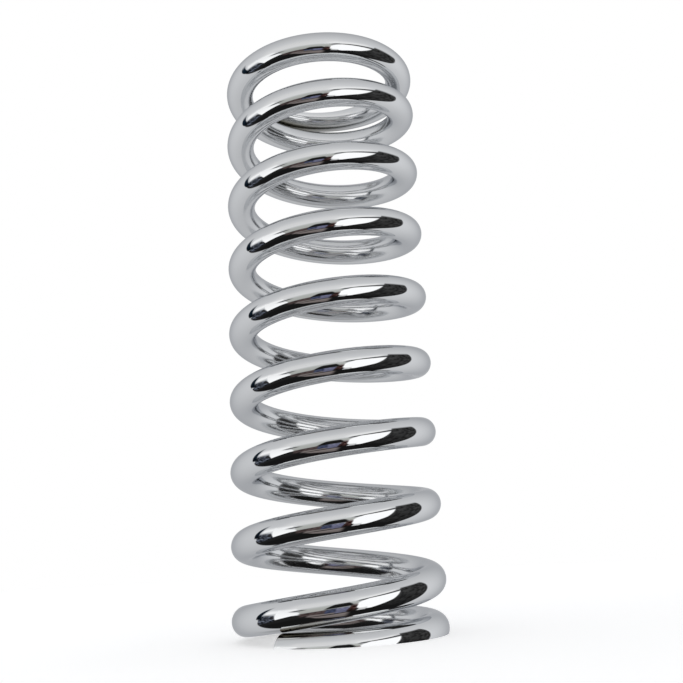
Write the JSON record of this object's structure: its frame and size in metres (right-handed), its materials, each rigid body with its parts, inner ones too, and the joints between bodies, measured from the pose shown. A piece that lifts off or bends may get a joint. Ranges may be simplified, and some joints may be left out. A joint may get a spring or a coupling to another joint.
{
  "type": "coilover spring",
  "caption": "Straight cylindrical compression spring of round chromed wire, wound right-handed, with closed and ground ends, for a coilover damper.",
  "frame": {"origin": "on the coil's axis, at the lower ground face", "axes": "+Z along the coil's axis towards the upper ground face; the lower wire tip is at 235 degrees from +X towards +Y"},
  "size_m": [0.0876, 0.0876, 0.2527],
  "materials": {
    "chrome_wire": "polished chrome plate over spring steel wire"
  },
  "bodies": {
    "root": {"spring_coil": "chrome_wire"}
  },
  "joints": []
}
